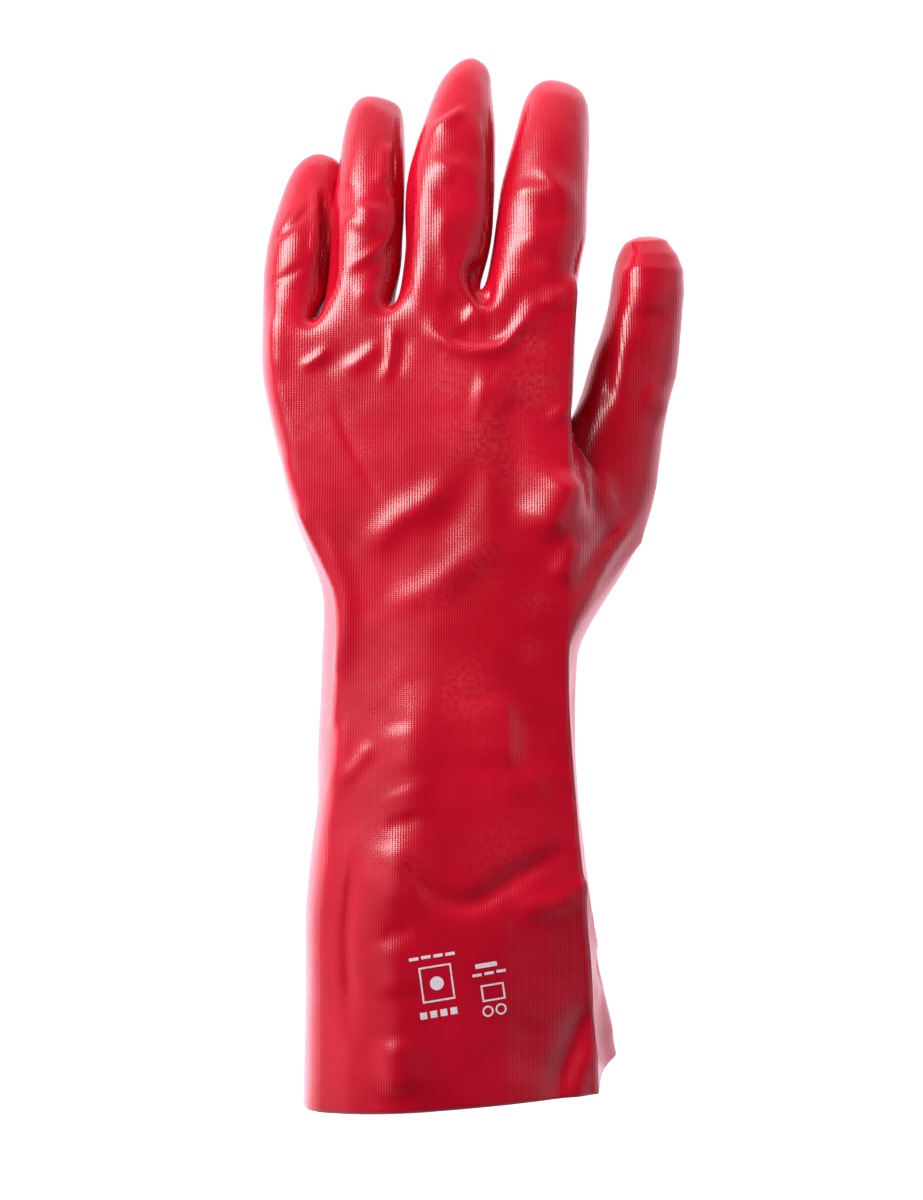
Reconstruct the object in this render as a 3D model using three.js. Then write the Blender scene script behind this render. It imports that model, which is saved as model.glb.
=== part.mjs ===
// A long work glove for the left hand, dipped in PVC over a knitted cotton liner. It lies palm down with the back
// of the hand up: +Y runs from the hem of the cuff to the fingertips, +X points to the thumb's side and +Z is up.
// All lengths are in millimetres. The origin is under the middle of the glove, on the surface that it lies on.
//
// The glove is one skin, made as a hand is box modelled: rings of points up the cuff and palm, a loop drawn out of
// the last ring for each finger, and one drawn out of the palm's side for the thumb. The skin is smoothed once,
// creased, pressed flat where it lies, and given its thickness inwards.

import * as THREE from "three";

// Cuff, wrist and palm
const bodyLength = 266; // hem to the crotches between the fingers
const cuffWidth = 107;
const cuffDepth = 70;
const wristWidth = 86;
const wristDepth = 54;
const palmWidth = 106;
const palmDepth = 46;
const crotchSlant = 18; // how much higher the crotch beside the index finger lies than the one beside the little
const hemSlant = 5; // how much shorter the cuff is cut on the thumb's side
const hemTrim = 4; // how much shorter again it is below, on that side
const edgeRadius = 11; // rounding of the body where it turns under

// Fingers: length from the crotch, width and depth at the root
const littleLength = 58.5;
const littleWidth = 22;
const ringLength = 76;
const ringWidth = 23.5;
const middleLength = 83.3;
const middleWidth = 28;
const indexLength = 70.7;
const indexWidth = 29.5;
const fingerDepth = 26;
const thumbLength = 98; // from the palm's side to the tip
const thumbWidth = 28.5;
const thumbDepth = 28;

// Walls
const coatWall = 1.3;
const linerWall = 1;
const linerClearance = 0.3; // between the coat and the liner
const linerReach = 76; // how far the liner is followed into the cuff

// Rings up the body. at is a share of bodyLength; left, crease and right are shares of the row's width, and top,
// leftTop and creaseTop of its depth. The crease is the sharp edge between the back and the thumb's side, and
// right is how far that side leans out below it. crown is the share of the back's width where it stands highest.
const cuffRow = { width: cuffWidth, depth: cuffDepth };
const wristRow = { width: wristWidth, depth: wristDepth };
const palmRow = { width: palmWidth, depth: palmDepth };
const bodyRows = [
  { at: 0.0, ...cuffRow, left: -0.357, crease: 0.565, right: 0.665, top: 1.0, leftTop: 0.7, creaseTop: 0.84, crown: 0.33 },
  { at: 0.12, ...cuffRow, left: -0.349, crease: 0.548, right: 0.622, top: 0.99, leftTop: 0.7, creaseTop: 0.84, crown: 0.31 },
  { at: 0.25, ...cuffRow, left: -0.352, crease: 0.522, right: 0.562, top: 0.97, leftTop: 0.69, creaseTop: 0.84, crown: 0.31 },
  { at: 0.38, ...wristRow, left: -0.41, crease: 0.612, right: 0.637, top: 1.2, leftTop: 0.86, creaseTop: 1.05, crown: 0.34 },
  { at: 0.5, ...wristRow, left: -0.392, crease: 0.588, right: 0.622, top: 1.1, leftTop: 0.78, creaseTop: 0.98, crown: 0.38 },
  { at: 0.605, ...wristRow, left: -0.384, crease: 0.594, right: 0.637, top: 1.0, leftTop: 0.7, creaseTop: 0.9, crown: 0.44 },
  { at: 0.645, ...wristRow, left: -0.388, crease: 0.6, right: 0.643, top: 0.98, leftTop: 0.66, creaseTop: 0.87, crown: 0.46 },
  { at: 0.69, ...palmRow, left: -0.36, crease: 0.497, right: 0.53, top: 1.12, leftTop: 0.76, creaseTop: 1.0, crown: 0.48 },
  { at: 0.76, ...palmRow, left: -0.416, crease: 0.49, right: 0.52, top: 1.07, leftTop: 0.74, creaseTop: 0.96, crown: 0.5 },
  { at: 0.84, ...palmRow, left: -0.452, crease: 0.48, right: 0.51, top: 1.03, leftTop: 0.71, creaseTop: 0.93, crown: 0.5 },
  { at: 0.92, ...palmRow, left: -0.492, crease: 0.486, right: 0.508, top: 0.97, leftTop: 0.67, creaseTop: 0.87, crown: 0.48 },
  { at: 1.0, ...palmRow, left: -0.495, crease: 0.5, right: 0.508, top: 0.86, leftTop: 0.64, creaseTop: 0.78, crown: 0.48 },
];
const ringSpans = 14;
const backRoundness = 1.7; // 1 makes the back a sharp roof, 2 a round one

// Columns across the back, from the little finger's side to the crease: two for each finger and a narrow one for
// each crotch. The numbers are shares of the back's width.
const columnShares = [0, 0.07, 0.14, 0.172, 0.281, 0.39, 0.42, 0.549, 0.678, 0.707, 0.853, 1];
const columns = columnShares.length - 1;

// The thumb leaves the side between these two rings.
const thumbFromRing = 8;
const thumbToRing = 12;

// Sections of the fingers. at is a share of the finger's length. across moves the middle of the section sideways
// by a share of the finger's width, lift is its height as a share of palmDepth, width is a share of the finger's
// width, depth a share of fingerDepth, and roll turns the section about the finger, in degrees.
const fingers = [
  {
    name: "little", column: 0, length: littleLength, width: littleWidth,
    rows: [
      { at: 0.22, across: 0.08, lift: 0.43, width: 0.99, depth: 0.92, roll: 6 },
      { at: 0.46, across: 0.145, lift: 0.39, width: 1.0, depth: 0.84, roll: 12 },
      { at: 0.69, across: 0.24, lift: 0.29, width: 0.92, depth: 0.76, roll: 12 },
      { at: 0.88, across: 0.286, lift: 0.2, width: 0.72, depth: 0.62, roll: 6 },
      { at: 0.985, across: 0.36, lift: 0.16, width: 0.46, depth: 0.36, roll: 0 },
    ],
  },
  {
    name: "ring", column: 3, length: ringLength, width: ringWidth,
    rows: [
      { at: 0.22, across: 0.01, lift: 0.48, width: 1.015, depth: 1.0, roll: 8 },
      { at: 0.46, across: 0.035, lift: 0.46, width: 1.0, depth: 0.92, roll: 12 },
      { at: 0.7, across: 0.06, lift: 0.35, width: 0.935, depth: 0.82, roll: 10 },
      { at: 0.9, across: 0.06, lift: 0.23, width: 0.82, depth: 0.66, roll: 4 },
      { at: 0.988, across: 0.25, lift: 0.17, width: 0.42, depth: 0.36, roll: 0 },
    ],
  },
  {
    name: "middle", column: 6, length: middleLength, width: middleWidth,
    rows: [
      { at: 0.22, across: 0.06, lift: 0.5, width: 1.0, depth: 1.05, roll: 6 },
      { at: 0.46, across: 0.06, lift: 0.49, width: 1.03, depth: 0.94, roll: 8 },
      { at: 0.69, across: 0.157, lift: 0.38, width: 0.857, depth: 0.84, roll: 8 },
      { at: 0.88, across: 0.187, lift: 0.25, width: 0.64, depth: 0.68, roll: 4 },
      { at: 0.985, across: 0.4, lift: 0.18, width: 0.36, depth: 0.38, roll: 0 },
    ],
  },
  {
    name: "index", column: 9, length: indexLength, width: indexWidth,
    rows: [
      { at: 0.22, across: 0.03, lift: 0.48, width: 0.98, depth: 1.03, roll: -2 },
      { at: 0.46, across: 0.08, lift: 0.45, width: 0.92, depth: 0.92, roll: -4 },
      { at: 0.7, across: 0.19, lift: 0.34, width: 0.81, depth: 0.82, roll: -6 },
      { at: 0.9, across: 0.258, lift: 0.23, width: 0.68, depth: 0.66, roll: -4 },
      { at: 0.987, across: 0.295, lift: 0.17, width: 0.4, depth: 0.36, roll: 0 },
    ],
  },
];

// Sections of the thumb. out and up place the middle from the middle of its root, as shares of thumbLength;
// heading is the way it points, in degrees from +Y towards +X.
const thumbRows = [
  { out: 0.13, up: 0.12, heading: 56, lift: 0.4, width: 1.5, depth: 1.14 },
  { out: 0.155, up: 0.33, heading: 14, lift: 0.35, width: 1.02, depth: 1.0 },
  { out: 0.186, up: 0.515, heading: 9, lift: 0.31, width: 0.98, depth: 0.9 },
  { out: 0.223, up: 0.72, heading: 5, lift: 0.28, width: 0.87, depth: 0.82 },
  { out: 0.234, up: 0.89, heading: 0, lift: 0.23, width: 0.76, depth: 0.66 },
  { out: 0.22, up: 0.975, heading: -4, lift: 0.19, width: 0.4, depth: 0.34 },
];
const sectionColumns = { finger: 2, thumb: 4 };

// Creases pressed into the back. Each runs from one point to another, whose places across are shares of palmWidth
// and along of bodyLength. spread is a share of palmWidth and rise, which is negative for a dent, of palmDepth.
const creases = [
  // across the wrist and the back of the hand
  { from: [-0.161, 0.687], to: [0.061, 0.758], spread: 0.055, rise: 0.06 },
  { from: [-0.062, 0.69], to: [0.154, 0.775], spread: 0.07, rise: -0.055 },
  { from: [-0.099, 0.618], to: [0.228, 0.702], spread: 0.05, rise: 0.055 },
  { from: [0.03, 0.605], to: [0.308, 0.684], spread: 0.065, rise: -0.035 },
  { from: [0.385, 0.803], to: [0.456, 0.717], spread: 0.1, rise: 0.06 },
  { from: [0.262, 0.846], to: [0.262, 0.748], spread: 0.07, rise: -0.06 },
  // round the knuckles
  { from: [0.092, 0.975], to: [0.231, 0.975], spread: 0.08, rise: -0.07 },
  { from: [0.036, 0.955], to: [0.178, 0.93], spread: 0.045, rise: 0.05 },
  { from: [0.178, 0.93], to: [0.302, 0.96], spread: 0.045, rise: 0.05 },
  { from: [-0.232, 0.91], to: [-0.136, 0.945], spread: 0.045, rise: 0.05 },
  { from: [-0.121, 0.895], to: [-0.099, 0.963], spread: 0.04, rise: 0.045 },
  { from: [-0.362, 0.916], to: [-0.294, 0.939], spread: 0.04, rise: 0.04 },
  { from: [0.308, 0.994], to: [0.326, 0.957], spread: 0.06, rise: 0.05 },
  // on the fingers
  { from: [-0.454, 1.064], to: [-0.34, 1.108], spread: 0.035, rise: -0.035 },
  { from: [-0.463, 1.014], to: [-0.352, 1.043], spread: 0.035, rise: -0.035 },
  { from: [-0.192, 1.09], to: [-0.149, 1.117], spread: 0.06, rise: 0.05 },
  { from: [-0.217, 1.041], to: [-0.109, 1.061], spread: 0.04, rise: -0.05 },
  { from: [-0.21, 1.006], to: [-0.136, 1.011], spread: 0.05, rise: 0.045 },
  { from: [0.033, 1.207], to: [0.141, 1.23], spread: 0.035, rise: 0.045 },
  { from: [0.077, 1.19], to: [0.129, 1.178], spread: 0.055, rise: -0.045 },
  { from: [0.012, 1.166], to: [0.166, 1.136], spread: 0.045, rise: 0.05 },
  { from: [0.055, 1.098], to: [0.055, 0.996], spread: 0.045, rise: 0.05 },
  { from: [0.17, 1.05], to: [0.17, 0.995], spread: 0.055, rise: -0.11 },
  { from: [0.339, 1.171], to: [0.444, 1.111], spread: 0.045, rise: 0.05 },
  { from: [0.308, 1.107], to: [0.394, 1.107], spread: 0.05, rise: -0.04 },
  // on the cuff
  { from: [0.036, 0.266], to: [0.478, 0.318], spread: 0.07, rise: -0.075 },
  { from: [0.308, 0.246], to: [0.524, 0.271], spread: 0.05, rise: 0.05 },
  { from: [0.419, -0.02], to: [0.524, 0.133], spread: 0.07, rise: -0.075 },
  { from: [0.385, 0.453], to: [0.431, 0.41], spread: 0.1, rise: -0.045 },
  { from: [-0.238, 0.403], to: [-0.152, 0.446], spread: 0.04, rise: 0.03 },
];

const mix = THREE.MathUtils.lerp;
const radians = THREE.MathUtils.degToRad;

// One column of a table at a height y, through the rows as a smooth curve.
function smoothColumn(rows, key, y) {
  const last = rows.length - 1;
  let i = 0;
  while (i < last - 1 && y > rows[i + 1].y) i += 1;
  const slope = (k) => {
    const low = rows[Math.max(k - 1, 0)];
    const high = rows[Math.min(k + 1, last)];
    return (high[key] - low[key]) / (high.y - low.y);
  };
  const span = rows[i + 1].y - rows[i].y;
  const t = (y - rows[i].y) / span;
  const start = (2 * t ** 3 - 3 * t ** 2 + 1) * rows[i][key] + (t ** 3 - 2 * t ** 2 + t) * span * slope(i);
  const end = (3 * t ** 2 - 2 * t ** 3) * rows[i + 1][key] + (t ** 3 - t ** 2) * span * slope(i + 1);
  return start + end;
}

const sizedRows = bodyRows.map((row) => ({
  y: row.at * bodyLength,
  left: row.left * row.width,
  crease: row.crease * row.width,
  right: row.right * row.width,
  top: row.top * row.depth,
  leftTop: row.leftTop * row.depth,
  creaseTop: row.creaseTop * row.depth,
  crown: row.crown,
}));

// The body's outline at a height y above the hem.
function bodyOutline(y) {
  const keys = ["left", "crease", "right", "top", "leftTop", "creaseTop", "crown"];
  return Object.fromEntries(keys.map((key) => [key, smoothColumn(sizedRows, key, y)]));
}

// Height of the back at a share of its width.
function backHeight(outline, share) {
  const onLeft = share < outline.crown;
  const fromCrown = onLeft ? (outline.crown - share) / outline.crown : (share - outline.crown) / (1 - outline.crown);
  return mix(outline.top, onLeft ? outline.leftTop : outline.creaseTop, fromCrown ** backRoundness);
}

// A ring is the back from left to right, one point on the thumb's side, the palm from right to left, and one point
// on the little finger's side.
function bodyRing(along) {
  const y = along * bodyLength;
  const o = bodyOutline(y);
  const slope = mix(hemSlant, crotchSlant, along ** 3) * (1 - Math.sin(Math.PI * along) * 0.7);
  const rise = (share) => y + slope * (share - along * 0.5);
  const trim = hemTrim * (1 - along) ** 4;
  const shoulder = edgeRadius * 0.75;
  const back = columnShares.map(
    (share) => new THREE.Vector3(mix(o.left + shoulder, o.crease, share), rise(share), backHeight(o, share)),
  );
  const palm = columnShares.map((share) => {
    const turn = Math.abs(2 * share - 1) ** 5;
    return new THREE.Vector3(
      mix(o.left + shoulder, o.right - edgeRadius * 0.3, share),
      rise(share) + trim * share,
      mix(-edgeRadius * 0.25, edgeRadius * 0.6, turn),
    );
  });
  const right = new THREE.Vector3(mix(o.crease, o.right, 0.75), rise(1) + trim / 2, o.creaseTop * 0.48);
  const left = new THREE.Vector3(o.left - shoulder * 0.3, rise(0), o.leftTop * 0.5);
  return [...back, right, ...palm.reverse(), left];
}

// A loop of points round a finger, in the same order as a ring's. The points stand a little outside the section,
// because smoothing draws them in.
function sectionLoop(section, count) {
  const { middle, heading, pitch, width, depth, roll } = section;
  const forward = new THREE.Vector3(
    Math.sin(heading) * Math.cos(pitch), Math.cos(heading) * Math.cos(pitch), Math.sin(pitch),
  );
  const side = new THREE.Vector3(Math.cos(heading), -Math.sin(heading), 0);
  const up = new THREE.Vector3().crossVectors(side, forward);
  side.applyAxisAngle(forward, roll);
  up.applyAxisAngle(forward, roll);
  const step = (2 * Math.PI) / count;
  const swell = 3 / (2 + Math.cos(step));
  const squareness = 0.86;
  return Array.from({ length: count }, (_, j) => {
    const angle = Math.PI - step * (j + 1);
    const across = Math.sign(Math.cos(angle)) * Math.abs(Math.cos(angle)) ** squareness;
    const high = Math.sign(Math.sin(angle)) * Math.abs(Math.sin(angle)) ** squareness;
    return middle
      .clone()
      .addScaledVector(side, (across * swell * width) / 2)
      .addScaledVector(up, (high * swell * depth) / 2);
  });
}

// The cage of the skin: points, four-sided faces, the piece of the glove that each face belongs to, and the edges
// that stay sharp.
const cage = { points: [], faces: [], places: [], sharp: new Set() };
const edgeKey = (a, b) => (a < b ? `${a}_${b}` : `${b}_${a}`);

function addLoop(points) {
  const start = cage.points.length;
  cage.points.push(...points);
  return points.map((_, i) => start + i);
}

function addFace(corners, place) {
  cage.faces.push(corners);
  cage.places.push(place);
}

function bridge(low, high, place, leaveOut = []) {
  low.forEach((_, i) => {
    const next = (i + 1) % low.length;
    if (!leaveOut.includes(i)) addFace([low[i], low[next], high[next], high[i]], place);
  });
}

// Closes a loop of width columns and two rows, apart from the open columns, and returns the points of its middle row.
function closeLoop(loop, width, place, openColumns = []) {
  const back = loop.slice(0, width + 1);
  const palm = loop.slice(width + 2, 2 * width + 3).reverse();
  const middle = back.map((_, i) => {
    if (i === 0) return loop[loop.length - 1];
    if (i === width) return loop[width + 1];
    const between = cage.points[back[i]].clone().lerp(cage.points[palm[i]], 0.5);
    return addLoop([between])[0];
  });
  for (let i = 0; i < width; i += 1) {
    if (openColumns.includes(i)) continue;
    addFace([back[i], back[i + 1], middle[i + 1], middle[i]], place);
    addFace([middle[i], middle[i + 1], palm[i + 1], palm[i]], place);
  }
  return { back, middle, palm };
}

// Body
const rings = Array.from({ length: ringSpans + 1 }, (_, k) => addLoop(bodyRing(k / ringSpans)));
for (let k = 0; k < ringSpans; k += 1) {
  const atThumb = k >= thumbFromRing && k < thumbToRing;
  bridge(rings[k], rings[k + 1], `body${k}`, atThumb ? [columns, columns + 1] : []);
  cage.sharp.add(edgeKey(rings[k][columns], rings[k + 1][columns]));
}
const fingerColumns = fingers.flatMap((finger) => [finger.column, finger.column + 1]);
const knuckles = closeLoop(rings[ringSpans], columns, "crotch", fingerColumns);

// Fingers
function drawFinger(finger) {
  const { back, middle, palm } = knuckles;
  const [a, b, c] = [finger.column, finger.column + 1, finger.column + 2];
  let loop = [back[a], back[b], back[c], middle[c], palm[c], palm[b], palm[a], middle[a]];
  const root = cage.points[middle[a]].clone().lerp(cage.points[middle[c]], 0.5);
  const middles = finger.rows.map(
    (row) => new THREE.Vector3(root.x + row.across * finger.width, root.y + row.at * finger.length, row.lift * palmDepth),
  );
  finger.rows.forEach((row, i) => {
    const before = i ? middles[i - 1] : root;
    const after = middles[Math.min(i + 1, middles.length - 1)];
    const way = after.clone().sub(before);
    const points = sectionLoop(
      {
        middle: middles[i],
        heading: Math.atan2(way.x, way.y),
        pitch: Math.atan2(way.z, Math.hypot(way.x, way.y)),
        width: row.width * finger.width,
        depth: row.depth * fingerDepth,
        roll: radians(row.roll),
      },
      2 * sectionColumns.finger + 4,
    );
    const next = addLoop(points);
    bridge(loop, next, finger.name);
    loop = next;
  });
  closeLoop(loop, sectionColumns.finger, finger.name);
}
fingers.forEach(drawFinger);

// Thumb
function drawThumb() {
  const between = (index) => rings.slice(thumbFromRing, thumbToRing + 1).map((ring) => ring[index]);
  const upper = between(columns).reverse();
  const lower = between(columns + 2);
  let loop = [...upper, rings[thumbFromRing][columns + 1], ...lower, rings[thumbToRing][columns + 1]];
  const root = cage.points[rings[thumbFromRing][columns + 1]]
    .clone()
    .lerp(cage.points[rings[thumbToRing][columns + 1]], 0.5);
  thumbRows.forEach((row) => {
    const points = sectionLoop(
      {
        middle: new THREE.Vector3(root.x + row.out * thumbLength, root.y + row.up * thumbLength, row.lift * palmDepth),
        heading: radians(row.heading),
        pitch: 0,
        width: row.width * thumbWidth,
        depth: row.depth * thumbDepth,
        roll: 0,
      },
      2 * sectionColumns.thumb + 4,
    );
    const next = addLoop(points);
    bridge(loop, next, "thumb");
    loop = next;
  });
  closeLoop(loop, sectionColumns.thumb, "thumb");
}
drawThumb();

// One step of Catmull-Clark smoothing. The hem and the sharp edges are smoothed along themselves only.
function smoothed({ points, faces, places, sharp }) {
  const edges = new Map();
  const around = points.map(() => ({ faces: [], edges: new Map() }));
  const facePoints = faces.map((corners, f) => {
    const centre = new THREE.Vector3();
    corners.forEach((corner, i) => {
      const next = corners[(i + 1) % corners.length];
      const key = edgeKey(corner, next);
      if (!edges.has(key)) edges.set(key, { ends: [corner, next], faces: [] });
      edges.get(key).faces.push(f);
      around[corner].faces.push(f);
      around[corner].edges.set(key, next);
      around[next].edges.set(key, corner);
      centre.addScaledVector(points[corner], 1 / corners.length);
    });
    return centre;
  });
  const isSharp = (key) => sharp.has(key) || edges.get(key).faces.length === 1;
  const made = points.map((point, v) => {
    const keys = [...around[v].edges.keys()];
    const held = keys.filter(isSharp);
    const neighbour = (key) => points[around[v].edges.get(key)];
    if (held.length > 2) return point.clone();
    if (held.length === 2) {
      return point.clone().multiplyScalar(0.75).addScaledVector(neighbour(held[0]), 0.125).addScaledVector(neighbour(held[1]), 0.125);
    }
    const n = keys.length;
    const moved = point.clone().multiplyScalar((n - 2) / n);
    keys.forEach((key) => moved.addScaledVector(neighbour(key), 1 / n ** 2));
    around[v].faces.forEach((f) => moved.addScaledVector(facePoints[f], 1 / n ** 2));
    return moved;
  });
  const edgePoint = new Map();
  edges.forEach((edge, key) => {
    const middle = points[edge.ends[0]].clone().lerp(points[edge.ends[1]], 0.5);
    if (!isSharp(key)) middle.lerp(facePoints[edge.faces[0]].clone().lerp(facePoints[edge.faces[1]], 0.5), 0.5);
    edgePoint.set(key, made.push(middle) - 1);
  });
  const result = { points: made, faces: [], places: [], sharp: new Set() };
  faces.forEach((corners, f) => {
    const centre = made.push(facePoints[f]) - 1;
    corners.forEach((corner, i) => {
      const before = corners[(i + corners.length - 1) % corners.length];
      const next = corners[(i + 1) % corners.length];
      result.faces.push([corner, edgePoint.get(edgeKey(corner, next)), centre, edgePoint.get(edgeKey(before, corner))]);
      result.places.push(places[f]);
    });
  });
  sharp.forEach((key) => edges.get(key).ends.forEach((end) => result.sharp.add(edgeKey(end, edgePoint.get(key)))));
  return result;
}

// Outward normals of a skin's points.
function normalsOf({ points, faces }) {
  const normals = points.map(() => new THREE.Vector3());
  faces.forEach(([a, b, c, d]) => {
    const area = points[c].clone().sub(points[a]).cross(points[d].clone().sub(points[b]));
    [a, b, c, d].forEach((corner) => normals[corner].add(area));
  });
  return normals.map((normal) => normal.normalize());
}

// How far the creases lift or press a point of the back.
function creaseRise(point) {
  return creases.reduce((sum, { from, to, spread, rise }) => {
    const [start, end] = [from, to].map(([across, along]) => new THREE.Vector3(across * palmWidth, along * bodyLength, 0));
    const flat = new THREE.Vector3(point.x, point.y, 0);
    const distance = new THREE.Line3(start, end).closestPointToPoint(flat, true, new THREE.Vector3()).distanceTo(flat);
    return sum + rise * palmDepth * Math.exp(-((distance / (spread * palmWidth)) ** 2));
  }, 0);
}

const skin = smoothed(cage);
const smoothNormals = normalsOf(skin);
skin.points.forEach((point, i) => {
  const facingUp = THREE.MathUtils.smoothstep(smoothNormals[i].z, 0.1, 0.8);
  point.addScaledVector(smoothNormals[i], facingUp * creaseRise(point));
  point.z = Math.max(point.z, 0);
});

// A closed solid between two depths under a skin. The same diagonals at every depth keep neighbouring walls apart.
function wallBetween(surface, kept, outerDepth, innerDepth) {
  const normals = normalsOf(surface);
  const faces = surface.faces.filter((_, f) => kept(surface.places[f]));
  const used = new Map();
  faces.flat().forEach((corner) => {
    if (!used.has(corner)) used.set(corner, used.size);
  });
  const layer = (depth) => [...used.keys()].map((v) => surface.points[v].clone().addScaledVector(normals[v], -depth));
  const positions = [...layer(outerDepth), ...layer(innerDepth)];
  const indices = [];
  const quad = (a, b, c, d) => {
    const short = positions[a].distanceTo(positions[c]) <= positions[b].distanceTo(positions[d]);
    return short ? [[a, b, c], [a, c, d]] : [[a, b, d], [b, c, d]];
  };
  const open = new Map();
  faces.forEach((corners) => {
    const outer = corners.map((corner) => used.get(corner));
    quad(...outer).forEach(([a, b, c]) => {
      indices.push(a, b, c, a + used.size, c + used.size, b + used.size);
    });
    outer.forEach((corner, i) => {
      const next = outer[(i + 1) % outer.length];
      const key = edgeKey(corner, next);
      if (open.has(key)) open.delete(key);
      else open.set(key, [corner, next]);
    });
  });
  open.forEach(([a, b]) => {
    indices.push(b, a, a + used.size, b, a + used.size, b + used.size);
  });
  const geometry = new THREE.BufferGeometry().setFromPoints(positions);
  geometry.setIndex(indices);
  geometry.computeVertexNormals();
  return geometry;
}

const linerSpans = Math.round((linerReach / bodyLength) * ringSpans);
const inLiner = (place) => place.startsWith("body") && Number(place.slice("body".length)) < linerSpans;
const linerDepth = coatWall + linerClearance;

const redCoat = new THREE.MeshStandardMaterial({ color: 0xc4142c, roughness: 0.28, metalness: 0 });
const cottonKnit = new THREE.MeshStandardMaterial({ color: 0xe9e2d2, roughness: 0.95, metalness: 0 });

const coat = new THREE.Mesh(wallBetween(skin, () => true, 0, coatWall), redCoat);
coat.name = "pvc_coat";
const liner = new THREE.Mesh(wallBetween(skin, inLiner, linerDepth, linerDepth + linerWall), cottonKnit);
liner.name = "knit_liner";

// The origin goes under the middle of the coat.
coat.geometry.computeBoundingBox();
const middle = coat.geometry.boundingBox.getCenter(new THREE.Vector3());

const glove = new THREE.Group();
glove.add(coat, liner);
glove.children.forEach((mesh) => mesh.position.set(-middle.x, -middle.y, 0));

export default glove;
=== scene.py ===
import math

import bmesh
import bpy
import numpy as np
from mathutils import Matrix, Vector
from mathutils.bvhtree import BVHTree


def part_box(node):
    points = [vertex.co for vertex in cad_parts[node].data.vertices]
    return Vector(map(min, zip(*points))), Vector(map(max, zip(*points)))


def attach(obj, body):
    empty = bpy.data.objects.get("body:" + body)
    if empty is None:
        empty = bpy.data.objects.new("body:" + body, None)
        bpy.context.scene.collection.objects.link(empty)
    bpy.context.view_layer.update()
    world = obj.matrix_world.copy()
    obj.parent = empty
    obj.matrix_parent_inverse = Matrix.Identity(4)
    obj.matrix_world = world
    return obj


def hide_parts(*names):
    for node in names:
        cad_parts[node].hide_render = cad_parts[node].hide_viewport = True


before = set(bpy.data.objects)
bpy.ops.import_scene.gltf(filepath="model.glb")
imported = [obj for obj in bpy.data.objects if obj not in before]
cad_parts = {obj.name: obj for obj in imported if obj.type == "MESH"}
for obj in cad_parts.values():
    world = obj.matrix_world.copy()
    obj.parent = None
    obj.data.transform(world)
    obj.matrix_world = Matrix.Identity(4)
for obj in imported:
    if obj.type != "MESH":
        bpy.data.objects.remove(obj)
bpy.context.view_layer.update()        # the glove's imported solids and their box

mm = 0.001


def deselectAll():
    bpy.ops.object.select_all(action="DESELECT")


def makeActive(piece):
    deselectAll()
    piece.select_set(True)
    bpy.context.view_layer.objects.active = piece


def joinPieces(pieces):
    # the first piece takes in the others
    deselectAll()
    for piece in pieces:
        piece.select_set(True)
    bpy.context.view_layer.objects.active = pieces[0]
    bpy.ops.object.join()


# The camera looks straight down on the glove, as the photograph does.
cameraSetup = {
    "place": (-4.1 * mm, -9.1 * mm, 1050 * mm),
    "sharpHeight": 35 * mm,         # height over the floor at which the picture's scale was measured
    "pixelSize": 0.3318 * mm,       # one of the picture's 923 columns, at that height
    "columns": 923,
    "rows": 1200,
    "sensor": 36.0,
}


def makeCamera():
    setup = cameraSetup
    deselectAll()
    bpy.ops.object.camera_add(location=setup["place"], rotation=(0, 0, 0))
    camera = bpy.context.object
    camera.name = "overheadCamera"
    camera.data.sensor_fit = "HORIZONTAL"
    camera.data.sensor_width = setup["sensor"]
    distance = setup["place"][2] - setup["sharpHeight"]
    camera.data.lens = setup["sensor"] * distance / (setup["pixelSize"] * setup["columns"])
    bpy.context.scene.camera = camera


makeCamera()

# Named sizes of the glove, as the solids have them
gloveSizes = {
    "bodyLength": 266 * mm, "cuffWidth": 107 * mm, "cuffDepth": 70 * mm, "wristWidth": 86 * mm,
    "wristDepth": 54 * mm, "palmWidth": 106 * mm, "palmDepth": 46 * mm, "crotchSlant": 18 * mm,
    "hemSlant": 5 * mm, "hemTrim": 8 * mm, "edgeRadius": 11 * mm, "fingerDepth": 26 * mm,
    "thumbLength": 98 * mm, "thumbWidth": 28.5 * mm, "thumbDepth": 28 * mm,
    "coatWall": 1.3 * mm, "linerWall": 1.0 * mm, "linerGap": 0.3 * mm, "linerReach": 76 * mm,
}
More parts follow.
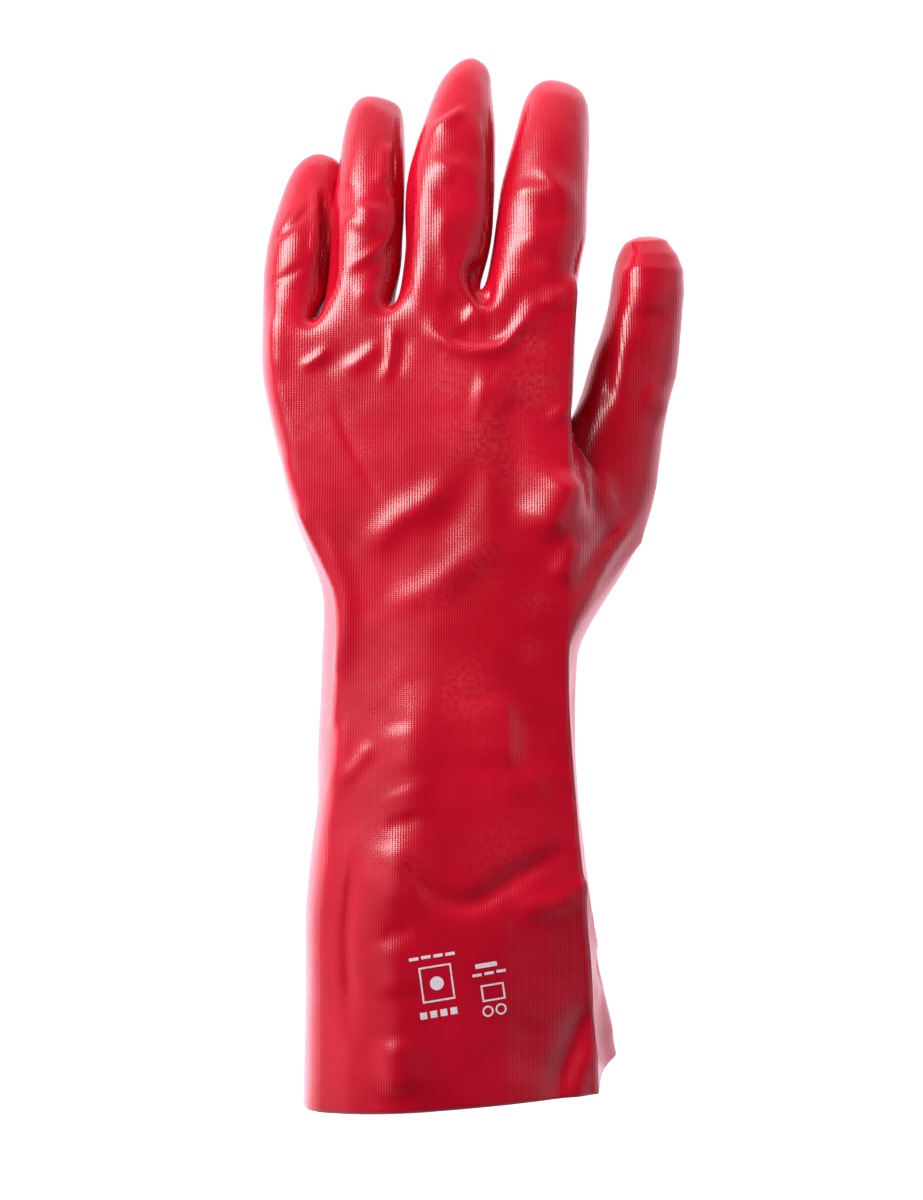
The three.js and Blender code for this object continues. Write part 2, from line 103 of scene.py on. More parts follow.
# Sections of the body: the share of its length, the place whose width and depth are meant, three shares of
# that width and three of that depth, the share across at which the highest point lies, the share of the
# edge's radius by which the left edge is drawn in, and the power with which the back falls off
rowNames = ("at", "left", "crease", "right", "top", "leftTop", "creaseTop", "crown", "shoulder", "roundness")
bodyRows = [
    (0.0, "cuff", -0.357, 0.565, 0.705, 1.0, 0.78, 0.74, 0.33, 0.24, 1.8),
    (0.12, "cuff", -0.349, 0.548, 0.64, 0.99, 0.78, 0.76, 0.31, 0.24, 1.8),
    (0.25, "cuff", -0.352, 0.522, 0.578, 0.96, 0.78, 0.8, 0.32, 0.32, 1.8),
    (0.38, "wrist", -0.41, 0.612, 0.672, 1.15, 0.99, 1.03, 0.38, 0.6, 1.7),
    (0.5, "wrist", -0.392, 0.588, 0.66, 1.07, 0.95, 0.97, 0.42, 0.75, 1.6),
    (0.605, "wrist", -0.384, 0.594, 0.682, 1.0, 0.91, 0.92, 0.5, 0.8, 1.5),
    (0.645, "wrist", -0.388, 0.6, 0.69, 0.98, 0.89, 0.9, 0.58, 0.7, 1.5),
    (0.69, "palm", -0.36, 0.497, 0.54, 1.12, 1.0, 1.04, 0.66, 0.55, 1.5),
    (0.76, "palm", -0.41, 0.49, 0.52, 1.07, 0.97, 1.0, 0.72, 0.3, 1.4),
    (0.84, "palm", -0.45, 0.487, 0.515, 1.02, 0.91, 0.96, 0.74, 0.2, 1.4),
    (0.92, "palm", -0.491, 0.498, 0.52, 0.96, 0.85, 0.9, 0.7, 0.2, 1.4),
    (1.0, "palm", -0.496, 0.515, 0.52, 0.9, 0.8, 0.84, 0.64, 0.22, 1.4),
]
# the lengthwise lines, as shares of the back's width: two columns of faces to a finger, and one between
columnShares = [0, 0.07, 0.14, 0.172, 0.281, 0.39, 0.42, 0.549, 0.678, 0.707, 0.853, 1]
columns = len(columnShares) - 1
ringCount = 2 * columns + 4
# Firm lengthwise edges: column, the shares of the length between which they are firm, and how much firmer a
# row makes them. First comes the crease by the thumb's side, then the left wall's upper edge at the wrist.
firmEdges = [(columns, -1, 2, 1.0), (0, 0.36, 0.82, 0.25), (0, 0.44, 0.76, 0.25), (0, 0.5, 0.7, 0.25)]
thumbSpan = (8 / 14, 12 / 14)       # shares of the body's length between which the thumb leaves its side

# How a ring of the body is drawn: insets and sags are shares of the edge's radius
ringSetup = {
    "slopeDip": 0.7,                # share by which the slants at hem and crotch fade between them
    "trimFade": 6,
    "palmInsets": (0.75, 0.3), "palmSag": -0.25, "palmLift": 0.6, "palmTurn": 5,
    "wallOut": (0.75, 0.2),         # the thumb's side wall at the crotch and at the hem: how far out it
    "wallHigh": (0.48, 0.3),        # bulges, as a share of its width, and how high, as a share of its height
    "leftBulge": 0.15, "leftHigh": 0.36,
}
squareness = 0.74                   # of finger and thumb sections: 1 would make them oval

# Finger sections: up and across are shares of the finger's length and width, lift of the palm's depth,
# width and depth of the finger's. Then comes the turn about the finger's line, in degrees.
fingerRows = {
    "little": {"column": 0, "length": 58.5 * mm, "width": 22 * mm, "rows": [
        (0.22, 0.14, 0.47, 1.0, 0.94, 4), (0.46, 0.22, 0.42, 1.02, 0.88, 4),
        (0.69, 0.345, 0.29, 0.95, 0.76, 2), (0.86, 0.45, 0.2, 0.84, 0.62, 0),
        (0.96, 0.56, 0.16, 0.6, 0.4, 0), (1.0, 0.6, 0.14, 0.3, 0.2, 0)]},
    "ring": {"column": 3, "length": 74 * mm, "width": 23.5 * mm, "rows": [
        (0.22, 0.11, 0.53, 1.015, 1.0, 3), (0.46, 0.14, 0.46, 1.0, 0.92, 3),
        (0.7, 0.2, 0.35, 0.92, 0.82, 0), (0.89, 0.23, 0.23, 0.82, 0.66, 2),
        (0.97, 0.3, 0.18, 0.66, 0.42, 0), (0.995, 0.32, 0.16, 0.42, 0.22, 0)]},
    "middle": {"column": 6, "length": 82 * mm, "width": 28 * mm, "rows": [
        (0.22, 0.13, 0.55, 1.0, 1.05, 6), (0.46, 0.145, 0.49, 1.04, 0.94, 6),
        (0.69, 0.245, 0.38, 0.87, 0.84, 2), (0.87, 0.315, 0.25, 0.66, 0.68, 4),
        (0.96, 0.43, 0.19, 0.46, 0.44, 0), (0.995, 0.5, 0.16, 0.24, 0.24, 0)]},
    "index": {"column": 9, "length": 69.5 * mm, "width": 29.5 * mm, "rows": [
        (0.22, 0.095, 0.53, 1.02, 1.03, -2), (0.46, 0.145, 0.45, 0.96, 0.92, -4),
        (0.7, 0.235, 0.34, 0.84, 0.82, -6), (0.88, 0.29, 0.23, 0.74, 0.66, -4),
        (0.965, 0.33, 0.18, 0.56, 0.42, 0), (1.0, 0.35, 0.16, 0.3, 0.22, 0)]},
}
fingerPoints = 8                    # points round a finger's section
# Thumb sections: up and out are shares of the thumb's length. Then come its heading in degrees, its lift as
# a share of the palm's depth, and its width and depth as shares of the thumb's.
thumbRows = [
    (0.096, 0.095, 55, 0.4, 1.58, 1.14), (0.33, 0.14, 14, 0.35, 1.04, 1.0),
    (0.515, 0.194, 9, 0.31, 0.99, 0.9), (0.72, 0.236, 5, 0.28, 0.83, 0.84),
    (0.86, 0.247, 0, 0.26, 0.79, 0.78), (0.962, 0.237, -4, 0.225, 0.5, 0.46),
    (0.98, 0.235, -4, 0.215, 0.22, 0.2),
]
thumbRoll = 19.0                    # degrees by which the thumb's back leans out, reached halfway up it


def mix(low, high, share):
    return low + (high - low) * share


def smoothValue(places, values, place):
    last = len(places) - 1
    i = 0
    while i < last - 1 and place > places[i + 1]:
        i += 1

    def slope(k):
        low, high = max(k - 1, 0), min(k + 1, last)
        return (values[high] - values[low]) / (places[high] - places[low])

    span = places[i + 1] - places[i]
    t = (place - places[i]) / span
    start = (2 * t**3 - 3 * t**2 + 1) * values[i] + (t**3 - 2 * t**2 + t) * span * slope(i)
    end = (3 * t**2 - 2 * t**3) * values[i + 1] + (t**3 - t**2) * span * slope(i + 1)
    return start + end


def sizeBodyRows():
    sized = {name: [] for name in rowNames}
    for at, place, left, crease, right, top, leftTop, creaseTop, crown, shoulder, roundness in bodyRows:
        width, depth = gloveSizes[place + "Width"], gloveSizes[place + "Depth"]
        values = (at, left * width, crease * width, right * width, top * depth, leftTop * depth,
                  creaseTop * depth, crown, shoulder, roundness)
        for name, value in zip(rowNames, values):
            sized[name].append(value)
    return sized


sizedRows = sizeBodyRows()


def backHeight(outline, share):
    crown = outline["crown"]
    onLeft = share < crown
    away = (crown - share) / crown if onLeft else (share - crown) / (1 - crown)
    return mix(outline["top"], outline["leftTop" if onLeft else "creaseTop"], away ** outline["roundness"])


def bodyRing(along):
    s, r = gloveSizes, ringSetup
    o = {name: smoothValue(sizedRows["at"], sizedRows[name], along) for name in rowNames[1:]}
    slope = mix(s["hemSlant"], s["crotchSlant"], along**3)
    slope *= 1 - math.sin(math.pi * along) * r["slopeDip"]
    trim = s["hemTrim"] * (1 - along) ** r["trimFade"]
    radius = s["edgeRadius"]
    inset = radius * o["shoulder"]

    def rise(share):
        return along * s["bodyLength"] + slope * (share - along * 0.5)

    back = [Vector((mix(o["left"] + inset, o["crease"], share), rise(share), backHeight(o, share)))
            for share in columnShares]
    palmLeft, palmRight = o["left"] + radius * r["palmInsets"][0], o["right"] - radius * r["palmInsets"][1]
    palm = []
    for share in reversed(columnShares):
        turn = abs(2 * share - 1) ** r["palmTurn"]
        palm.append(Vector((mix(palmLeft, palmRight, share), rise(share) + trim * share,
                            mix(radius * r["palmSag"], radius * r["palmLift"], turn))))
    flare = (1 - along) ** 3        # the thumb's side wall spreads on the surface towards the hem
    right = Vector((mix(o["crease"], o["right"], mix(*r["wallOut"], flare)), rise(1) + trim / 2,
                    o["creaseTop"] * mix(*r["wallHigh"], flare)))
    left = Vector((o["left"] - inset * r["leftBulge"], rise(0), o["leftTop"] * r["leftHigh"]))
    return back + [right] + palm + [left]


def sectionLoop(middle, heading, pitch, width, depth, roll, count):
    flat = Vector((math.sin(heading), math.cos(heading), 0))
    forward = flat * math.cos(pitch) + Vector((0, 0, math.sin(pitch)))
    side = Vector((math.cos(heading), -math.sin(heading), 0))
    up = side.cross(forward)
    turn = Matrix.Rotation(roll, 3, forward)
    side, up = turn @ side, turn @ up
    step = 2 * math.pi / count
    swell = 3 / (2 + math.cos(step))    # makes up for what the smoothing takes off
    loop = []
    for j in range(count):
        angle = math.pi - step * (j + 1)
        across = math.copysign(abs(math.cos(angle)) ** squareness, math.cos(angle))
        high = math.copysign(abs(math.sin(angle)) ** squareness, math.sin(angle))
        loop.append(middle + side * (across * swell * width / 2) + up * (high * swell * depth / 2))
    return loop


def finerRows(rows, pieces):
    places = [row[0] for row in rows]
    finer = [rows[0]]
    for low, high in zip(places, places[1:]):
        for piece in range(1, pieces + 1):
            at = mix(low, high, piece / pieces)
            finer.append(tuple(smoothValue(places, values, at) for values in zip(*rows)))
    return finer


def capMiddle(loop, width):
    back = loop[:width + 1]
    palm = loop[width + 2:2 * width + 3][::-1]
    return [back[i].lerp(palm[i], 0.5) for i in range(1, width)]


def editMesh(piece):
    mesh = bmesh.from_edit_mesh(piece.data)
    mesh.verts.ensure_lookup_table()
    return mesh, mesh.verts.layers.int["slot"]


def placeSelected(piece, points):
    mesh, slot = editMesh(piece)
    for vertex in mesh.verts:
        if vertex.select:
            vertex.co = points[vertex[slot]]
    bmesh.update_edit_mesh(piece.data)


def drawOutFrom(piece, rootPoints, sections):
    # selects the faces between the root's points, and extrudes them once for each section
    mesh, slot = editMesh(piece)
    root = set()
    for index, point in enumerate(rootPoints):
        nearest = min(mesh.verts, key=lambda vertex: (vertex.co - point).length_squared)
        nearest[slot] = index
        root.add(nearest)
    for face in mesh.faces:
        face.select = all(vertex in root for vertex in face.verts)
    mesh.select_flush_mode()
    bmesh.update_edit_mesh(piece.data)
    for points in sections:
        bpy.ops.mesh.extrude_region_move()
        placeSelected(piece, points)


def drawBody(name, rings):
    deselectAll()
    bpy.ops.mesh.primitive_circle_add(vertices=ringCount, radius=gloveSizes["cuffWidth"] / 2,
                                      fill_type="NOTHING")
    cage = bpy.context.object
    cage.name = name
    bpy.ops.object.mode_set(mode="EDIT")
    bpy.ops.mesh.select_mode(type="EDGE")
    mesh = bmesh.from_edit_mesh(cage.data)
    slot = mesh.verts.layers.int.new("slot")
    mesh.verts.ensure_lookup_table()
    for index, vertex in enumerate(mesh.verts):
        vertex[slot] = index
    bpy.ops.mesh.select_all(action="SELECT")
    placeSelected(cage, rings[0])
    for ring in rings[1:]:
        bpy.ops.mesh.extrude_region_move()
        placeSelected(cage, ring)
    return cage


def firmUp(cage):
    for column, low, high, firmer in firmEdges:
        mesh, slot = editMesh(cage)
        low, high = low * gloveSizes["bodyLength"], high * gloveSizes["bodyLength"]
        for edge in mesh.edges:
            edge.select = all(vertex[slot] == column and low < vertex.co.y < high for vertex in edge.verts)
        bmesh.update_edit_mesh(cage.data)
        bpy.ops.transform.edge_crease(value=firmer)


def closeEnd(cage, loop):
    # closes the last ring with two rows of faces, and returns the row between them
    mesh, _ = editMesh(cage)
    bpy.ops.mesh.select_mode(type="VERT")
    last = [min(mesh.verts, key=lambda vertex: (vertex.co - point).length_squared) for point in loop]
    for vertex in mesh.verts:
        vertex.select = False
    for vertex in last:
        vertex.select = True
    mesh.select_flush_mode()
    mesh.select_history.clear()
    mesh.select_history.add(last[0])
    before = len(mesh.verts)
    bmesh.update_edit_mesh(cage.data)
    bpy.ops.mesh.fill_grid(span=columns, offset=0)
    mesh, _ = editMesh(cage)
    middles = capMiddle(loop, columns)
    for vertex, point in zip(sorted(mesh.verts[before:], key=lambda vertex: vertex.co.x), middles):
        vertex.co = point
    bmesh.update_edit_mesh(cage.data)
    return [loop[-1]] + middles + [loop[columns + 1]]


def drawFinger(cage, finger, loop, middleRow, pieces):
    palm = loop[columns + 2:2 * columns + 3][::-1]
    a, b, c = (finger["column"] + k for k in range(3))
    rootPoints = [loop[a], loop[b], loop[c], middleRow[c], palm[c], palm[b], palm[a],
                  middleRow[a], middleRow[b]]
    root = middleRow[a].lerp(middleRow[c], 0.5)
    rows = finerRows(finger["rows"], pieces)
    middles = [Vector((root.x + across * finger["width"], root.y + up * finger["length"],
                       lift * gloveSizes["palmDepth"])) for up, across, lift, _, _, _ in rows]
    sections = []
    for i, (_, _, _, wide, deep, roll) in enumerate(rows):
        way = middles[min(i + 1, len(rows) - 1)] - (middles[i - 1] if i else root)
        points = sectionLoop(middles[i], math.atan2(way.x, way.y), math.atan2(way.z, way.xy.length),
                             wide * finger["width"], deep * gloveSizes["fingerDepth"],
                             math.radians(roll), fingerPoints)
        sections.append(points + capMiddle(points, 2))
    drawOutFrom(cage, rootPoints, sections)


def drawThumb(cage, rings, spans, pieces):
    s = gloveSizes
    low, high = (round(share * spans) for share in thumbSpan)
    width = high - low
    upper = [rings[k][columns] for k in range(high, low - 1, -1)]
    lower = [rings[k][columns + 2] for k in range(low, high + 1)]
    inner = [rings[k][columns + 1] for k in range(high - 1, low, -1)]
    lowEnd, highEnd = rings[low][columns + 1], rings[high][columns + 1]
    root = lowEnd.lerp(highEnd, 0.5)
    sections = []
    for up, out, heading, lift, wide, deep in finerRows(thumbRows, pieces):
        middle = Vector((root.x + out * s["thumbLength"], root.y + up * s["thumbLength"],
                         lift * s["palmDepth"]))
        points = sectionLoop(middle, math.radians(heading), 0, wide * s["thumbWidth"], deep * s["thumbDepth"],
                             math.radians(thumbRoll * min(2 * up, 1)), 2 * width + 4)
        sections.append(points + capMiddle(points, width))
    drawOutFrom(cage, upper + [lowEnd] + lower + [highEnd] + inner, sections)


def buildCage(name, spans, pieces):
    rings = [bodyRing(k / spans) for k in range(spans + 1)]
    cage = drawBody(name, rings)
    firmUp(cage)
    middleRow = closeEnd(cage, rings[-1])
    bpy.ops.mesh.select_mode(type="FACE")
    for finger in fingerRows.values():
        drawFinger(cage, finger, rings[-1], middleRow, pieces)
    drawThumb(cage, rings, spans, pieces)
    bpy.ops.mesh.select_all(action="SELECT")
    bpy.ops.mesh.normals_make_consistent(inside=False)
    bpy.ops.object.mode_set(mode="OBJECT")
    return cage


def addModifier(piece, kind, settings):
    # adds one modifier with its settings and applies it
    makeActive(piece)
    bpy.ops.object.modifier_add(type=kind)
    modifier = piece.modifiers[-1]
    for name, value in settings.items():
        setattr(modifier, name, value)
    bpy.ops.object.modifier_apply(modifier=modifier.name)


def readVertices(piece, field="co"):
    values = np.empty(len(piece.data.vertices) * 3)
    piece.data.vertices.foreach_get(field, values)
    return values.reshape(-1, 3)


def writeVertices(piece, places):
    piece.data.vertices.foreach_set("co", places.ravel())
    piece.data.update()


def smoothStep(values, low, high):
    share = np.clip((values - low) / (high - low), 0, 1)
    return share * share * (3 - 2 * share)


def toPicture(places):
    # the picture's pixel at which the camera sees each point
    setup = cameraSetup
    focal = (setup["place"][2] - setup["sharpHeight"]) / setup["pixelSize"]
    away = setup["place"][2] - places[:, 2]
    across = setup["columns"] / 2 + (places[:, 0] - setup["place"][0]) * focal / away
    down = setup["rows"] / 2 - (places[:, 1] - setup["place"][1]) * focal / away
    return np.stack([across, down], axis=1)


def curveThrough(points, pieces=6):
    # a smooth line through given points
    points = [np.array(point, float) for point in points]
    points = [2 * points[0] - points[1]] + points + [2 * points[-1] - points[-2]]
    line = []
    for a, b, c, d in zip(points, points[1:], points[2:], points[3:]):
        for k in range(pieces):
            t = k / pieces
            line.append(0.5 * (2 * b + (c - a) * t + (2 * a - 5 * b + 4 * c - d) * t**2
                               + (3 * b - a - 3 * c + d) * t**3))
    return line + [points[-2]]


foldSetup = {
    "fade": (-0.045, 0.3),          # shares of a fold's length over which each of its ends fades
    "turn": 0.6,                    # how soon a fold's left reach gives way to its right reach at its ends
    "lean": 0.4,                    # how much the picture's top counts as left, for folds that run across
    "reaches": 3,                   # reaches from its line at which a fold is left out
    "upperFacing": (0.1, 0.6),      # how far up, or sideways, the coat faces where the folds set in
    "sideFacing": (0.25, 0.75),
    "sideEnd": 60 * mm,             # where the folds of the side walls end
}


def foldHeights(spots, points, rise, leftReach, rightReach):
    # height that one fold adds at each spot. Its line falls off over leftReach towards the picture's left
    # or top, and over rightReach on the other side, and it fades out towards its ends.
    line = curveThrough(points)
    lengths = [np.linalg.norm(b - a) for a, b in zip(line, line[1:])]
    total = sum(lengths)
    nearest = np.full(len(spots), np.inf)
    side = np.zeros(len(spots))
    along = np.zeros(len(spots))
    done = 0.0
    for a, b, length in zip(line, line[1:], lengths):
        way = (b - a) / length
        away = spots - a
        reach = np.clip(away @ way, 0, length)
        gap = np.linalg.norm(away - reach[:, None] * way, axis=1)
        closer = gap < nearest
        leftward = np.array([way[1], -way[0]])
        if leftward[0] + foldSetup["lean"] * leftward[1] > 0:
            leftward = -leftward
        nearest = np.where(closer, gap, nearest)
        side = np.where(closer, away @ leftward, side)
        along = np.where(closer, done + reach, along)
        done += length
    turn = smoothStep(side / (nearest + 1e-9), -foldSetup["turn"], foldSetup["turn"])
    reach = rightReach + (leftReach - rightReach) * turn
    low, high = foldSetup["fade"]
    ends = smoothStep(np.minimum(along, total - along), low * total, high * total)
    return rise * np.exp(-(nearest / reach) ** 2) * ends


# Folds of the upper side. Each line is set in the picture's pixels. Then come its rise (a valley is
# below zero) and its reach to the left and to the right, in mm.
upperFolds = {
    "heelRidge": ([(366, 556), (396, 523), (428, 502), (455, 475)], 1.2, 5, 4.2),
    "heelShade": ([(420, 545), (455, 512), (489, 447)], -0.8, 5, 6),
    "lowerHeelRidge": ([(385, 612), (438, 584), (469, 559), (500, 532)], 0.8, 4.5, 4.5),
    "lowerHeelShade": ([(440, 612), (480, 585), (515, 560)], -0.5, 5, 7),
    "palmValley": ([(498, 385), (512, 430), (513, 465), (512, 495), (522, 535)], -1.0, 6, 5),
    "palmBulge": ([(538, 542), (558, 508), (573, 468)], 3.5, 8.5, 6.5),
    "bulgeSpotUp": ([(553, 408), (563, 422)], 0.8, 3.5, 4),
    "bulgeSpotDown": ([(556, 584), (567, 562), (576, 540)], 1.5, 4, 4),
    "knuckleSheen": ([(470, 388), (492, 394), (512, 412)], 1.0, 5, 7),
    "knuckleArc": ([(427, 312), (433, 334), (452, 346), (480, 350), (505, 343), (522, 320), (530, 298)],
                   1.5, 1.6, 2.6),
    "knuckleDent": ([(456, 326), (478, 334), (500, 326)], -0.9, 5, 5),
    "ringRootLeft": ([(300, 369), (314, 360), (330, 349)], 0.7, 1.6, 2.0),
    "ringRootMiddle": ([(344, 372), (360, 360), (380, 343)], 0.8, 2.2, 3),
    "ringRootRight": ([(382, 384), (389, 366), (392, 344), (390, 324)], 0.8, 1.6, 2.4),
    "ringRootGap": ([(394, 376), (400, 355), (404, 330)], -0.6, 2.6, 3),
    "littleRootGap": ([(318, 366), (334, 360), (350, 345)], -0.4, 4, 4),
    "palmLine": ([(331, 390), (351, 447), (382, 500)], -0.35, 1.6, 2.6),
    "cuffRidgeTop": ([(416, 680), (414, 746), (412, 790), (404, 815)], 1.0, 6, 9),
    "cuffRidgeMiddle": ([(402, 828), (398, 880), (397, 926)], 1.0, 6, 9),
    "cuffRidgeLow": ([(397, 936), (400, 1000), (400, 1062), (404, 1118)], 1.0, 6, 9),
    "cuffBreakUp": ([(384, 826), (400, 822), (420, 820)], -0.4, 2.4, 2.6),
    "cuffBreakDown": ([(380, 936), (396, 932), (416, 928)], -0.4, 2.4, 2.6),
    "cuffMoundA": ([(398, 722), (404, 748), (408, 776)], 0.6, 5.5, 7),
    "cuffMoundB": ([(400, 786), (406, 802), (410, 820)], 0.5, 5, 7),
    "cuffMoundC": ([(386, 840), (392, 872), (398, 908)], 0.4, 5.5, 7),
    "cuffMoundD": ([(388, 938), (393, 968), (398, 1000)], 0.9, 5.5, 7),
    "cuffMoundE": ([(390, 1036), (395, 1066), (400, 1100)], 1.6, 5, 7),
    "cuffValley": ([(418, 884), (447, 900), (477, 902), (524, 874), (575, 846)], -1.7, 4, 3.6),
    "cuffValleyLip": ([(512, 912), (545, 905), (590, 887)], 1.6, 4, 5),
    "cuffNotch": ([(400, 862), (418, 880), (440, 898)], -0.7, 2.4, 2.6),
    "cuffPlaneEdge": ([(500, 690), (506, 730), (505, 772)], 1.2, 14, 4),
    "cuffPlane": ([(530, 710), (537, 745), (534, 775)], -0.5, 6, 8),
    "cuffPlaneFoot": ([(498, 790), (520, 786), (552, 780)], 0.5, 4, 6),
    "hemValley": ([(556, 1108), (566, 1068), (580, 1030), (596, 1000)], -2.2, 5, 3.4),
    "hemValleyLip": ([(574, 1112), (584, 1072), (597, 1040)], 1.0, 3, 3),
    "hemShade": ([(530, 1015), (534, 1050), (532, 1085)], -0.4, 7, 8),
    "leftCrease": ([(356, 840), (349, 890), (345, 943), (349, 1009), (352, 1035)], -1.1, 1.8, 3.4),
    "leftStreak": ([(373, 742), (358, 764), (341, 785)], 0.5, 2.4, 2.4),
    "leftRimUp": ([(318, 520), (334, 562), (345, 600), (343, 640), (336, 690)], 0.9, 2, 4),
    "leftRimDown": ([(337, 700), (341, 735), (338, 768), (325, 805), (316, 860)], 0.7, 2, 4),
    "creaseSeamUp": ([(582, 120), (584, 200), (581, 300), (579, 400)], 0.5, 1.2, 1.2),
    "creaseSeamMiddle": ([(578, 400), (578, 470), (584, 530), (580, 600), (571, 640), (569, 671)],
                         0.6, 1.2, 1.2),
    "creaseSeamLow": ([(569, 671), (573, 734), (585, 827), (590, 890), (592, 952), (598, 1015), (603, 1095)],
                      0.6, 1.2, 1.2),
    "creasePinch": ([(574, 878), (588, 889), (600, 902)], 1.1, 2.4, 2.4),
    "littleCrest": ([(312, 180), (316, 205), (315, 240), (313, 270)], 1.0, 1.3, 1.8),
    "littleGrooveUp": ([(270, 242), (290, 228), (312, 204)], -0.5, 1.1, 1.0),
    "littleGrooveDown": ([(264, 288), (285, 277), (309, 262)], -0.5, 1.1, 1.0),
    "littleHollow": ([(324, 186), (327, 215), (328, 250), (327, 300)], -3.0, 2.0, 2.2),
    "littleLeftEdge": ([(277, 296), (272, 340), (275, 384)], 0.7, 1.4, 5),
    "ringCrest": ([(386, 140), (387, 165), (381, 188)], 1.1, 2.8, 3),
    "ringOval": ([(370, 200), (366, 216), (358, 234)], 0.9, 4, 7),
    "ringSweep": ([(378, 180), (390, 198), (392, 222), (384, 243), (368, 256), (346, 268)], 0.9, 1.1, 1.3),
    "ringSweepFoot": ([(342, 280), (360, 270), (382, 258)], -0.3, 1.4, 2.4),
    "ringLow": ([(352, 296), (366, 294), (380, 290)], 0.9, 3.2, 5),
    "ringSide": ([(398, 140), (403, 185), (404, 240)], -1.4, 2.6, 2.6),
    "ringLeftDent": ([(348, 180), (343, 200), (347, 220)], -0.8, 3, 3),
    "middleVeeLeft": ([(431, 130), (446, 120), (468, 106)], 0.9, 1.1, 2.2),
    "middleVeeRight": ([(470, 100), (478, 130), (484, 165), (485, 200), (483, 250)], 0.9, 4, 1.6),
    "middleBand": ([(426, 170), (442, 166), (462, 172), (482, 194)], 0.9, 3, 5),
    "middleBandFoot": ([(430, 192), (448, 192), (468, 208)], -0.5, 5, 5),
    "middleStem": ([(454, 200), (445, 214), (441, 240), (446, 262), (444, 300)], 0.7, 1.8, 4),
    "middleLeftEdge": ([(422, 176), (417, 230), (415, 280), (420, 316)], 1.1, 1.5, 5),
    "middlePocket": ([(476, 258), (482, 285), (488, 310)], -3.4, 3.2, 3),
    "middlePocketLip": ([(468, 240), (462, 264), (460, 288), (482, 308)], 0.6, 1.5, 1.6),
    "middleFoot": ([(440, 312), (452, 308), (470, 315)], -1.2, 4, 4),
    "indexPatchTop": ([(534, 160), (550, 178), (564, 194), (568, 218)], 0.9, 2.6, 3.5),
    "indexPatch": ([(510, 200), (526, 190), (546, 190), (562, 204)], 0.8, 2.4, 4),
    "indexPatchHollow": ([(538, 210), (549, 214), (558, 226)], -0.5, 3.4, 3.4),
    "indexSpot": ([(522, 246), (532, 236), (544, 229)], 0.7, 3, 4),
    "indexHollow": ([(536, 250), (530, 268)], -0.8, 5, 5),
    "indexBulge": ([(538, 292), (536, 314), (522, 336)], 1.2, 4.5, 5),
    "indexRightSpot": ([(562, 288), (555, 298), (547, 308)], 1.1, 3.2, 4),
    "thumbRidge": ([(624, 330), (621, 372), (618, 402)], 0.6, 3, 4),
    "thumbShade": ([(606, 335), (608, 375), (604, 412)], -0.9, 3, 3),
    "thumbCross": ([(620, 322), (645, 317), (672, 320)], -0.7, 3, 4),
    "thumbTip": ([(632, 244), (624, 256), (617, 268)], -0.9, 2, 3),
    "thumbFold": ([(640, 395), (658, 402), (672, 420)], 0.8, 4, 4),
    "webRidge": ([(598, 468), (608, 500), (620, 532)], 1.6, 2.2, 3),
    "webRidgeLow": ([(641, 511), (614, 544), (592, 582), (578, 624)], 2.0, 2.0, 2.6),
    "webValley": ([(610, 500), (612, 526), (600, 552)], -1.2, 3, 3),
    "webHollow": ([(591, 470), (594, 495), (600, 520)], -1.0, 3, 3),
}
# Folds of the two side walls: the line is (y, z) in mm, then rise and reach
sideFolds = {
    "left": [
        ([(18, 18), (-2, 16), (-28, 15)], -2.6, 7),
        ([(18, 6), (-5, 4), (-30, 5)], 1.6, 4),
        ([(-60, 30), (-95, 24), (-130, 22)], -1.2, 9),
        ([(-130, 18), (-165, 14)], 0.9, 8),
    ],
    "right": [
        ([(-98, 52), (-118, 40), (-128, 18)], 1.5, 4),
        ([(-108, 30), (-122, 24), (-140, 12)], -2.0, 5),
        ([(-30, 40), (-60, 30), (-92, 26)], -1.4, 8),
        ([(-132, 46), (-152, 30), (-166, 18)], -1.5, 6),
        ([(-140, 20), (-160, 10)], 1.0, 4),
    ],
}


def raiseFolds(places, normals, strength=1.0, widen=0.0):
    # moves points along their normals by the folds that cross them
    setup = foldSetup
    scale = cameraSetup["pixelSize"] / mm
    spots = toPicture(places) * scale
    height = np.zeros(len(places))
    for points, rise, leftReach, rightReach in upperFolds.values():
        line = np.array(points, float) * scale
        most = setup["reaches"] * (max(leftReach, rightReach) + widen)
        near = np.all((spots < line.max(axis=0) + most) & (spots > line.min(axis=0) - most), axis=1)
        near &= normals[:, 2] > setup["upperFacing"][0]
        if near.any():
            height[near] += foldHeights(spots[near], line, rise, leftReach + widen, rightReach + widen)
    height *= smoothStep(normals[:, 2], *setup["upperFacing"])
    flat = places[:, 1:] / mm
    for side, folds in sideFolds.items():
        facing = -normals[:, 0] if side == "left" else normals[:, 0]
        wall = smoothStep(facing, *setup["sideFacing"]) * (places[:, 1] < setup["sideEnd"])
        near = wall > 0
        for line, rise, reach in folds:
            height[near] += wall[near] * foldHeights(flat[near], line, rise, reach, reach)
    return places + normals * (height * strength * mm)[:, None]


coatSetup = {
    # Numbers of rings must be multiples of 14, the steps in which thumbSpan is given
    "fineSpans": 28, "finePieces": 2, "fineLevels": 3,
    "plainSpans": 14, "plainPieces": 1, "plainLevels": 2,
    "innerRise": 0.9,               # share of the folds' height that the inside follows
    "innerWiden": 0.5,              # mm by which they reach further there
    "unevenness": 0.35 * mm,        # slow unevenness of the dipped coat
    "unevenGrain": 13 * mm,
    "leastWall": 0.7 * mm,
}


def smoothCage(cage, levels):
    addModifier(cage, "SUBSURF", {"levels": levels, "render_levels": levels, "use_limit_surface": False})
    cage.data.attributes.remove(cage.data.attributes["slot"])


